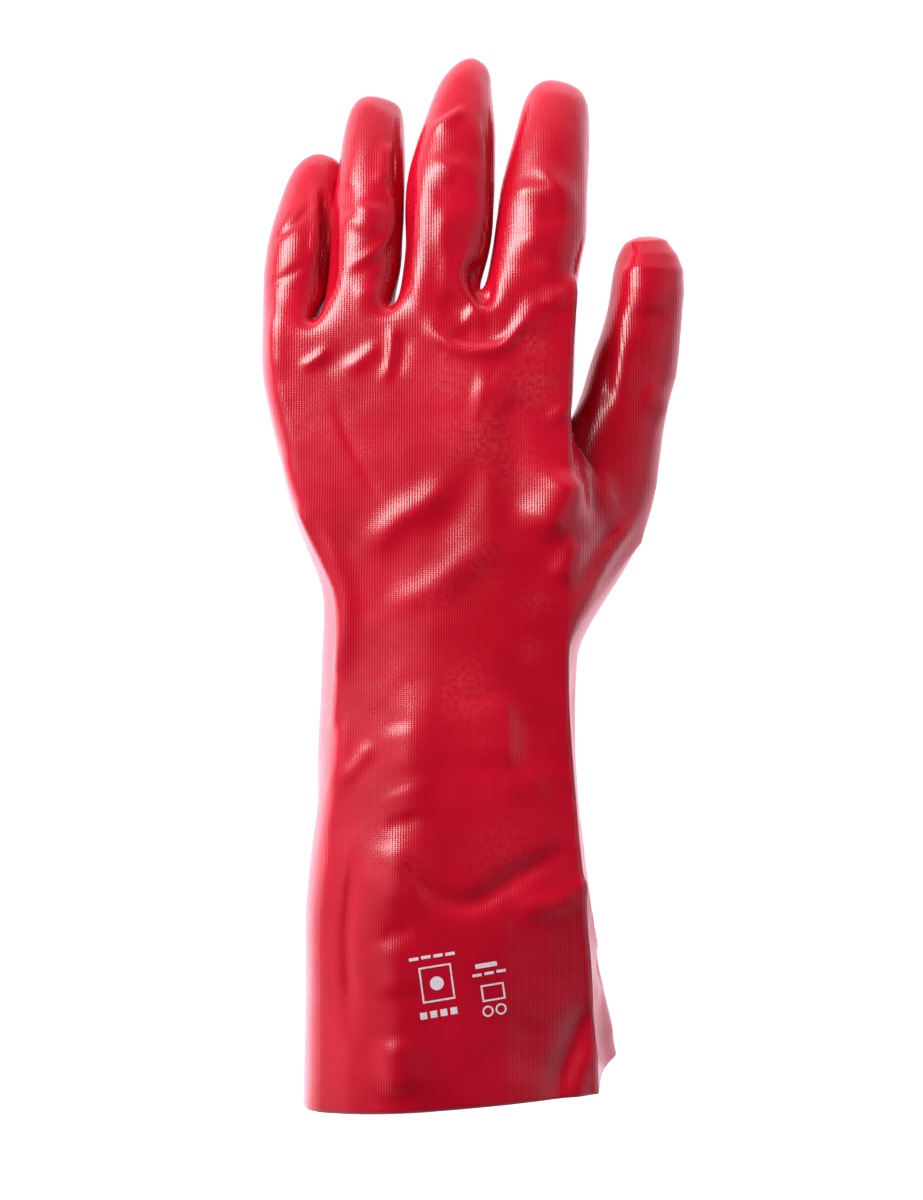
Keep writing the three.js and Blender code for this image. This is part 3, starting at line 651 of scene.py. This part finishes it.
def addUnevenness(piece):
    texture = bpy.data.textures.new("coatUnevenness", "CLOUDS")
    texture.noise_scale = coatSetup["unevenGrain"]
    texture.noise_depth = 1
    addModifier(piece, "DISPLACE", {"texture": texture, "texture_coords": "LOCAL", "mid_level": 0.5,
                                    "strength": coatSetup["unevenness"]})
    bpy.data.textures.remove(texture)


def findShift(piece, node):
    low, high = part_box(node)
    places = readVertices(piece)
    middle = (places.min(axis=0) + places.max(axis=0)) / 2
    return np.array([(low[0] + high[0]) / 2 - middle[0], (low[1] + high[1]) / 2 - middle[1], 0.0])


def treeOf(piece):
    mesh = bmesh.new()
    mesh.from_mesh(piece.data)
    tree = BVHTree.FromBMesh(mesh)
    mesh.free()
    return tree


def keepInside(places, tree, least):
    # pulls points of the inside back to at least one wall under the outside
    for k, place in enumerate(places):
        spot, normal, _, _ = tree.find_nearest(Vector(place))
        depth = (spot - Vector(place)).dot(normal)
        if depth < least:
            places[k] = np.array(Vector(place) - normal * (least - depth))
    return places


def drawIn(piece, shift, depth):
    # points of a layer that lies under the coat's outside and follows its folds less sharply
    writeVertices(piece, readVertices(piece) + shift)
    normals = readVertices(piece, "normal")
    places = raiseFolds(readVertices(piece), normals, coatSetup["innerRise"], coatSetup["innerWiden"])
    return places - normals * depth


def lowestPoint(piece):
    return round(readVertices(piece)[:, 2].min() / mm, 2)


def makeCoat():
    setup = coatSetup
    outer = buildCage("pvc_coat_skin", setup["fineSpans"], setup["finePieces"])
    smoothCage(outer, setup["fineLevels"])
    shift = findShift(outer, "pvc_coat")
    writeVertices(outer, readVertices(outer) + shift)
    addUnevenness(outer)
    places = raiseFolds(readVertices(outer), readVertices(outer, "normal"))
    places[:, 2] = np.maximum(places[:, 2], 0)
    writeVertices(outer, places)
    print("coat: outside shaped,", len(outer.data.polygons), "faces")

    inner = buildCage("coatInside", setup["plainSpans"], setup["plainPieces"])
    smoothCage(inner, setup["plainLevels"])
    places = drawIn(inner, shift, gloveSizes["coatWall"])
    writeVertices(inner, keepInside(places, treeOf(outer), setup["leastWall"]))
    makeActive(inner)
    bpy.ops.object.mode_set(mode="EDIT")
    bpy.ops.mesh.select_all(action="SELECT")
    bpy.ops.mesh.flip_normals()
    bpy.ops.object.mode_set(mode="OBJECT")
    print("coat: inside shaped,", len(inner.data.polygons), "faces")

    joinPieces([outer, inner])
    bpy.ops.object.mode_set(mode="EDIT")
    bpy.ops.mesh.select_mode(type="EDGE")
    bpy.ops.mesh.select_all(action="DESELECT")
    bpy.ops.mesh.select_non_manifold(extend=False, use_wire=False, use_boundary=True,
                                     use_multi_face=False, use_non_contiguous=False, use_verts=False)
    bpy.ops.mesh.bridge_edge_loops()
    bpy.ops.object.mode_set(mode="OBJECT")
    bpy.ops.object.shade_smooth()
    print("coat: walls joined,", len(outer.data.polygons), "faces, lowest at", lowestPoint(outer), "mm")
    return outer, shift


linerSetup = {
    "levels": 2,
    "slack": 0.2 * mm,              # past its gap to the coat, so that the two never touch in a fold
    "showing": 0.5 * mm,            # how far its edge shows past the hem
    "showingFade": 12 * mm,
}


def makeLiner(shift):
    setup = linerSetup
    liner = buildCage("knit_liner_cloth", coatSetup["plainSpans"], coatSetup["plainPieces"])
    makeActive(liner)
    spacing = gloveSizes["bodyLength"] / coatSetup["plainSpans"]
    reach = gloveSizes["linerReach"] + spacing / 2      # between two rings, so that its inner edge is even
    bpy.ops.object.mode_set(mode="EDIT")
    mesh = bmesh.from_edit_mesh(liner.data)
    bpy.ops.mesh.select_mode(type="VERT")
    for vertex in mesh.verts:
        vertex.select = vertex.co.y > reach
    mesh.select_flush_mode()
    bmesh.update_edit_mesh(liner.data)
    bpy.ops.mesh.delete(type="VERT")
    bpy.ops.object.mode_set(mode="OBJECT")
    smoothCage(liner, setup["levels"])
    depth = gloveSizes["coatWall"] + gloveSizes["linerGap"]
    places = drawIn(liner, shift, depth + setup["slack"])
    places[:, 2] = np.maximum(places[:, 2], depth)
    hem = places[:, 1].min()
    places[:, 1] -= setup["showing"] * smoothStep(-places[:, 1], -hem - setup["showingFade"], -hem)
    writeVertices(liner, places)
    addModifier(liner, "SOLIDIFY", {"thickness": gloveSizes["linerWall"], "offset": -1.0, "use_rim": True})
    makeActive(liner)
    bpy.ops.object.shade_smooth()
    print("liner:", len(liner.data.polygons), "faces, lowest at", lowestPoint(liner), "mm")
    return liner


# A plain printed mark on the cuff: rows of bars, squares and rings, placed by the picture's pixels and sized
# in mm
printSetup = {
    "turn": 8.0,                    # degrees by which its rows rise to the right
    "cuffTop": 62 * mm,             # about the height of the cuff under it
    "above": 120 * mm,              # height from which it is dropped on the coat
    "film": 0.05 * mm,
    "lift": 0.6,                    # share of the film's thickness at which its underside floats
    "line": 0.55,                   # width of the frames' and rings' lines
    "roundPoints": 28,
    "cuts": {"bar": 5, "square": 5, "frame": 11, "disc": 1, "ring": 1},
    "marks": {
        "bar": [(414, 957, 3.0, 1.0), (426, 955, 3.0, 1.0), (438, 953.5, 3.0, 1.0), (450, 952, 3.0, 1.0),
                (486, 964, 7.0, 1.5), (477, 974, 3.0, 0.9), (489, 972, 3.0, 0.9), (501, 970, 3.0, 0.9)],
        "frame": [(437, 981, 10.5, 11.5), (493, 991, 7.5, 5.4)],
        "square": [(424, 1013, 2.2, 2.2), (434, 1011.5, 2.2, 2.2), (444, 1010, 2.2, 2.2),
                   (454, 1008.5, 2.2, 2.2)],
        "disc": [(437, 981, 4.4, 4.4)],
        "ring": [(488, 1010, 3.6, 3.6), (501, 1008, 3.6, 3.6)],
    },
}


def fromPicture(across, down, height):
    setup = cameraSetup
    focal = (setup["place"][2] - setup["sharpHeight"]) / setup["pixelSize"]
    away = setup["place"][2] - height
    return Vector((setup["place"][0] + (across - setup["columns"] / 2) * away / focal,
                   setup["place"][1] + (setup["rows"] / 2 - down) * away / focal, height))


def printFlatMark(kind, across, down, width, depth):
    setup = printSetup
    place = fromPicture(across, down, setup["cuffTop"])
    deselectAll()
    if kind in ("disc", "ring"):
        bpy.ops.mesh.primitive_circle_add(vertices=setup["roundPoints"], radius=width * mm / 2,
                                          fill_type="NGON", location=place)
    else:
        bpy.ops.mesh.primitive_plane_add(size=1, location=place)
        bpy.context.object.scale = (width * mm, depth * mm, 1)
    mark = bpy.context.object
    mark.rotation_euler = (0, 0, math.radians(setup["turn"]))
    bpy.ops.object.transform_apply(location=True, rotation=True, scale=True)
    bpy.ops.object.mode_set(mode="EDIT")
    bpy.ops.mesh.select_mode(type="FACE")
    bpy.ops.mesh.select_all(action="SELECT")
    if kind in ("frame", "ring"):
        bpy.ops.mesh.inset(thickness=setup["line"] * mm)
        bpy.ops.mesh.delete(type="FACE")
        bpy.ops.mesh.select_all(action="SELECT")
    if kind == "disc":
        bpy.ops.mesh.poke()
    bpy.ops.mesh.subdivide(number_cuts=setup["cuts"][kind])
    bpy.ops.object.mode_set(mode="OBJECT")
    return mark


def makePrint(coat):
    setup = printSetup
    joinPieces([printFlatMark(kind, *mark) for kind, marks in setup["marks"].items() for mark in marks])
    ink = bpy.context.object
    ink.name = "cuff_print"
    tree = treeOf(coat)
    places = readVertices(ink)
    for k, place in enumerate(places):
        spot, normal, _, _ = tree.ray_cast(Vector((place[0], place[1], setup["above"])), Vector((0, 0, -1)))
        places[k] = spot + normal * setup["film"] * setup["lift"]
    writeVertices(ink, places)
    addModifier(ink, "SOLIDIFY", {"thickness": setup["film"], "offset": 1.0, "use_rim": True})
    print("print:", len(ink.data.polygons), "faces")
    return ink


def linear(code):
    # sRGB hex to linear colour
    parts = [int(code[i:i + 2], 16) / 255 for i in (1, 3, 5)]
    return tuple(v / 12.92 if v <= 0.04045 else ((v + 0.055) / 1.055) ** 2.4 for v in parts) + (1.0,)


def addNode(material, kind, settings=None, links=None):
    node = material.node_tree.nodes.new("ShaderNode" + kind)
    for name, value in (settings or {}).items():
        if isinstance(name, str) and hasattr(node, name):
            setattr(node, name, value)
        else:
            node.inputs[name].default_value = value
    for name, source in (links or {}).items():
        material.node_tree.links.new(source, node.inputs[name])
    return node


def startMaterial(name):
    material = bpy.data.materials.new(name)
    material.use_nodes = True
    material.node_tree.nodes.clear()
    return material


def endMaterial(material, shader):
    addNode(material, "OutputMaterial", {}, {"Surface": shader.outputs[0]})
    return material


def bandScale(spacing):
    # scale at which a wave texture has one band in each spacing
    return math.pi / 10 / spacing


# Dipped PVC: a wet, deep gloss over a red that the knit under it breaks up
pvcLooks = {
    "deep": "#b90721", "fresh": "#cd0d2a", "bloomAndSheen": "#dc5a5e", "roughness": 0.24, "ior": 1.5,
    "bloomAndSheenRougher": 0.16,
    "patchGrain": 34 * mm, "patchSpan": (0.35, 0.68),
    "speckGrain": 1.7 * mm, "speckSpan": (0.38, 0.66),
    "waleSpacing": 0.87 * mm, "courseSpacing": 0.62 * mm, "courseShare": 0.25, "knitDepth": 0.032 * mm,
    "knitWander": 0.3,
}


def makePvc():
    looks = pvcLooks
    pvc = startMaterial("dippedPvc")
    place = addNode(pvc, "TexCoord")
    patches = addNode(pvc, "TexNoise", {"Scale": 1 / looks["patchGrain"], "Detail": 3.0},
                      {"Vector": place.outputs["Object"]})
    low, high = looks["patchSpan"]
    tint = addNode(pvc, "MapRange", {"From Min": low, "From Max": high},
                   {"Value": patches.outputs["Fac"]})
    red = addNode(pvc, "Mix",
                  {"data_type": "RGBA", 6: linear(looks["deep"]), 7: linear(looks["fresh"])},
                  {0: tint.outputs["Result"]})

    # pale bloom and painted sheen, blotchy like the coat between two stitches
    bloomAndSheen = addNode(pvc, "Attribute", {"attribute_name": "bloomAndSheen"})
    specks = addNode(pvc, "TexNoise",
                     {"Scale": 1 / looks["speckGrain"], "Detail": 4.0, "Roughness": 0.7},
                     {"Vector": place.outputs["Object"]})
    low, high = looks["speckSpan"]
    blotch = addNode(pvc, "MapRange", {"From Min": low, "From Max": high},
                     {"Value": specks.outputs["Fac"]})
    pale = addNode(pvc, "Math", {"operation": "MULTIPLY"},
                   {0: bloomAndSheen.outputs["Fac"], 1: blotch.outputs["Result"]})
    colour = addNode(pvc, "Mix", {"data_type": "RGBA", 7: linear(looks["bloomAndSheen"])},
                     {0: pale.outputs["Value"], 6: red.outputs[2]})

    # the jersey's wales and courses print through as a shallow grid
    wales = addNode(pvc, "TexWave",
                    {"wave_type": "BANDS", "bands_direction": "X",
                     "Scale": bandScale(looks["waleSpacing"]), "Distortion": 0.6, "Detail": 1.0,
                     "Detail Scale": looks["knitWander"]},
                    {"Vector": place.outputs["Object"]})
    courses = addNode(pvc, "TexWave",
                      {"wave_type": "BANDS", "bands_direction": "Y",
                       "Scale": bandScale(looks["courseSpacing"]), "Distortion": 0.8, "Detail": 1.0,
                       "Detail Scale": looks["knitWander"]},
                      {"Vector": place.outputs["Object"]})
    knit = addNode(pvc, "Math", {"operation": "MULTIPLY_ADD", 1: looks["courseShare"]},
                   {0: courses.outputs["Fac"], 2: wales.outputs["Fac"]})
    knitBump = addNode(pvc, "Bump", {"Strength": 1.0, "Distance": looks["knitDepth"]},
                       {"Height": knit.outputs["Value"]})
    rough = addNode(pvc, "MapRange",
                    {"To Min": looks["roughness"], "To Max": looks["roughness"] + looks["bloomAndSheenRougher"]},
                    {"Value": pale.outputs["Value"]})
    shader = addNode(pvc, "BsdfPrincipled", {"IOR": looks["ior"]},
                     {"Base Color": colour.outputs[2], "Roughness": rough.outputs["Result"],
                      "Normal": knitBump.outputs["Normal"]})
    return endMaterial(pvc, shader)


# Cotton jersey: matt, warm off-white, with raised wales
cottonLooks = {
    "light": "#f1ebdf", "shade": "#d9cebb", "roughness": 0.9, "sheen": 0.2,
    "waleSpacing": 0.9 * mm, "waleDepth": 0.2 * mm,
}


def makeCotton():
    looks = cottonLooks
    cotton = startMaterial("cottonJersey")
    place = addNode(cotton, "TexCoord")
    wales = addNode(cotton, "TexWave",
                    {"wave_type": "BANDS", "bands_direction": "X", "Scale": bandScale(looks["waleSpacing"]),
                     "Distortion": 1.2, "Detail": 2.0}, {"Vector": place.outputs["Object"]})
    colour = addNode(cotton, "Mix",
                     {"data_type": "RGBA", 6: linear(looks["shade"]), 7: linear(looks["light"])},
                     {0: wales.outputs["Fac"]})
    bump = addNode(cotton, "Bump", {"Strength": 0.8, "Distance": looks["waleDepth"]},
                   {"Height": wales.outputs["Fac"]})
    shader = addNode(cotton, "BsdfPrincipled",
                     {"Roughness": looks["roughness"], "Sheen Weight": looks["sheen"]},
                     {"Base Color": colour.outputs[2], "Normal": bump.outputs["Normal"]})
    return endMaterial(cotton, shader)


# Screen print ink: opaque, slightly satin, with pinholes where the weave took less
inkLooks = {"ink": "#efe6e8", "worn": "#d8959c", "roughness": 0.5, "grain": 0.5 * mm, "holeSpan": (0.3, 0.42)}


def makeInk():
    looks = inkLooks
    ink = startMaterial("screenPrintInk")
    place = addNode(ink, "TexCoord")
    holes = addNode(ink, "TexNoise", {"Scale": 1 / looks["grain"], "Detail": 2.0},
                    {"Vector": place.outputs["Object"]})
    low, high = looks["holeSpan"]
    cover = addNode(ink, "MapRange", {"From Min": low, "From Max": high},
                    {"Value": holes.outputs["Fac"]})
    colour = addNode(ink, "Mix",
                     {"data_type": "RGBA", 6: linear(looks["worn"]), 7: linear(looks["ink"])},
                     {0: cover.outputs["Result"]})
    shader = addNode(ink, "BsdfPrincipled", {"Roughness": looks["roughness"]},
                     {"Base Color": colour.outputs[2]})
    return endMaterial(ink, shader)


bloomAndSheenMost = 0.36                    # how far the strongest bloom and painted sheen cover the red
# Whitish bloom and painted sheen on the coat, some spots lying on the soft highlights of the knuckles
# and the cuff's ridge: the picture's pixel, reach in pixels, strength
bloomAndSheenSpots = [
    (462, 690, 30, 0.6), (452, 380, 26, 0.7), (480, 440, 34, 0.7), (448, 430, 20, 0.5), (516, 470, 26, 0.5),
    (532, 385, 24, 0.8), (534, 345, 16, 0.8), (536, 600, 14, 0.4), (532, 650, 12, 0.4), (430, 590, 26, 0.4),
    (404, 860, 26, 0.35), (500, 850, 34, 0.35), (396, 750, 22, 0.3), (480, 560, 26, 0.35),
]


def paintBloomAndSheen(coat):
    spots = toPicture(readVertices(coat))
    normals = readVertices(coat, "normal")
    values = np.zeros(len(spots))
    # each spot paints a pale patch into the red, partly bloom and partly painted sheen
    for across, down, reach, strength in bloomAndSheenSpots:
        gap = np.linalg.norm(spots - np.array([across, down]), axis=1)
        values = np.maximum(values, bloomAndSheenMost * strength * np.exp(-(gap / reach) ** 2))
    values *= normals[:, 2] > 0.1
    layer = coat.data.attributes.new("bloomAndSheen", "FLOAT", "POINT")
    layer.data.foreach_set("value", values.astype(np.float32))


def giveMaterial(piece, material):
    piece.data.materials.clear()
    piece.data.materials.append(material)


coat, cageShift = makeCoat()
paintBloomAndSheen(coat)
liner = makeLiner(cageShift)
ink = makePrint(coat)
giveMaterial(coat, makePvc())
giveMaterial(liner, makeCotton())
giveMaterial(ink, makeInk())

for piece, slot in ((coat, "pvc_red"), (liner, "cotton_knit"), (ink, "print_ink")):
    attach(piece, "root")
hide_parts("pvc_coat")
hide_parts("knit_liner")

floorSetup = {"size": 6.0, "under": 0.2 * mm, "colour": "#f4effb", "roughness": 0.85, "glow": 1.15}


def makeFloor():
    setup = floorSetup
    deselectAll()
    bpy.ops.mesh.primitive_plane_add(size=setup["size"], location=(0, 0, -setup["under"]))
    floor = bpy.context.object
    floor.name = "studioFloor"
    bpy.ops.object.transform_apply(location=True, rotation=True, scale=True)
    paper = startMaterial("studioPaper")
    shader = addNode(paper, "BsdfPrincipled", {
        "Base Color": linear(setup["colour"]), "Roughness": setup["roughness"],
        "Emission Color": linear(setup["colour"]), "Emission Strength": setup["glow"]})
    giveMaterial(floor, endMaterial(paper, shader))


makeFloor()

# Studio light: one square soft box over the upper left, pale surroundings low down, a darker room overhead,
# and two diffusing papers
lightSetup = {
    "key": {"place": (-0.64, 0.68, 0.72), "size": 0.54, "power": 15.6},
    "horizon": "#f3ecff", "overhead": "#302e34",
    "paleBelow": 0.3, "darkAbove": 0.7,         # heights on the surroundings' sphere
    "leftStrength": 0.95, "rightStrength": 0.75, "sideSpan": 0.6,
    # each paper: the way to its middle, its inner and outer edge in degrees and its strength
    "papers": [((-0.72, 0.36, 0.6), (26.0, 38.0), 0.6), ((0.86, 0.1, 0.5), (14.0, 24.0), 0.7)],
}


def makeKeyLight():
    setup = lightSetup["key"]
    place = Vector(setup["place"])
    turn = (-place).to_track_quat("-Z", "Y").to_euler()
    deselectAll()
    bpy.ops.object.light_add(type="AREA", location=place, rotation=turn)
    light = bpy.context.object
    light.name = "keyLight"
    light.data.shape = "SQUARE"
    light.data.size = setup["size"]
    light.data.energy = setup["power"]


def makeSurroundings():
    setup = lightSetup
    world = bpy.data.worlds.new("studioSurroundings")
    bpy.context.scene.world = world
    world.use_nodes = True
    world.node_tree.nodes.clear()
    place = addNode(world, "TexCoord")
    parts = addNode(world, "SeparateXYZ", {}, {0: place.outputs["Generated"]})
    height = addNode(world, "MapRange",
                     {"From Min": setup["paleBelow"], "From Max": setup["darkAbove"],
                      "interpolation_type": "SMOOTHSTEP"}, {"Value": parts.outputs["Z"]})
    tint = addNode(world, "Mix",
                   {"data_type": "RGBA", 6: linear(setup["horizon"]), 7: linear(setup["overhead"])},
                   {0: height.outputs["Result"]}).outputs[2]
    strength = addNode(world, "MapRange",
                       {"From Min": -setup["sideSpan"], "From Max": setup["sideSpan"],
                        "To Min": setup["leftStrength"], "To Max": setup["rightStrength"]},
                       {"Value": parts.outputs["X"]}).outputs["Result"]
    for way, edges, bright in setup["papers"]:
        toPaper = addNode(world, "VectorMath", {"operation": "DOT_PRODUCT", 1: way},
                          {0: place.outputs["Generated"]})
        near, far = (math.cos(math.radians(angle)) for angle in edges)
        paper = addNode(world, "MapRange",
                        {"From Min": far, "From Max": near, "interpolation_type": "SMOOTHSTEP"},
                        {"Value": toPaper.outputs["Value"]})
        tint = addNode(world, "Mix", {"data_type": "RGBA", 7: linear(setup["horizon"])},
                       {0: paper.outputs["Result"], 6: tint}).outputs[2]
        strength = addNode(world, "Mix", {"data_type": "FLOAT", 3: bright},
                           {0: paper.outputs["Result"], 2: strength}).outputs[0]
    shader = addNode(world, "Background", {}, {"Color": tint, "Strength": strength})
    addNode(world, "OutputWorld", {}, {"Surface": shader.outputs[0]})


makeKeyLight()
makeSurroundings()
bpy.context.scene.view_settings.view_transform = "Standard"     # keeps the coat's red as deep as its hex
print("studio ready")
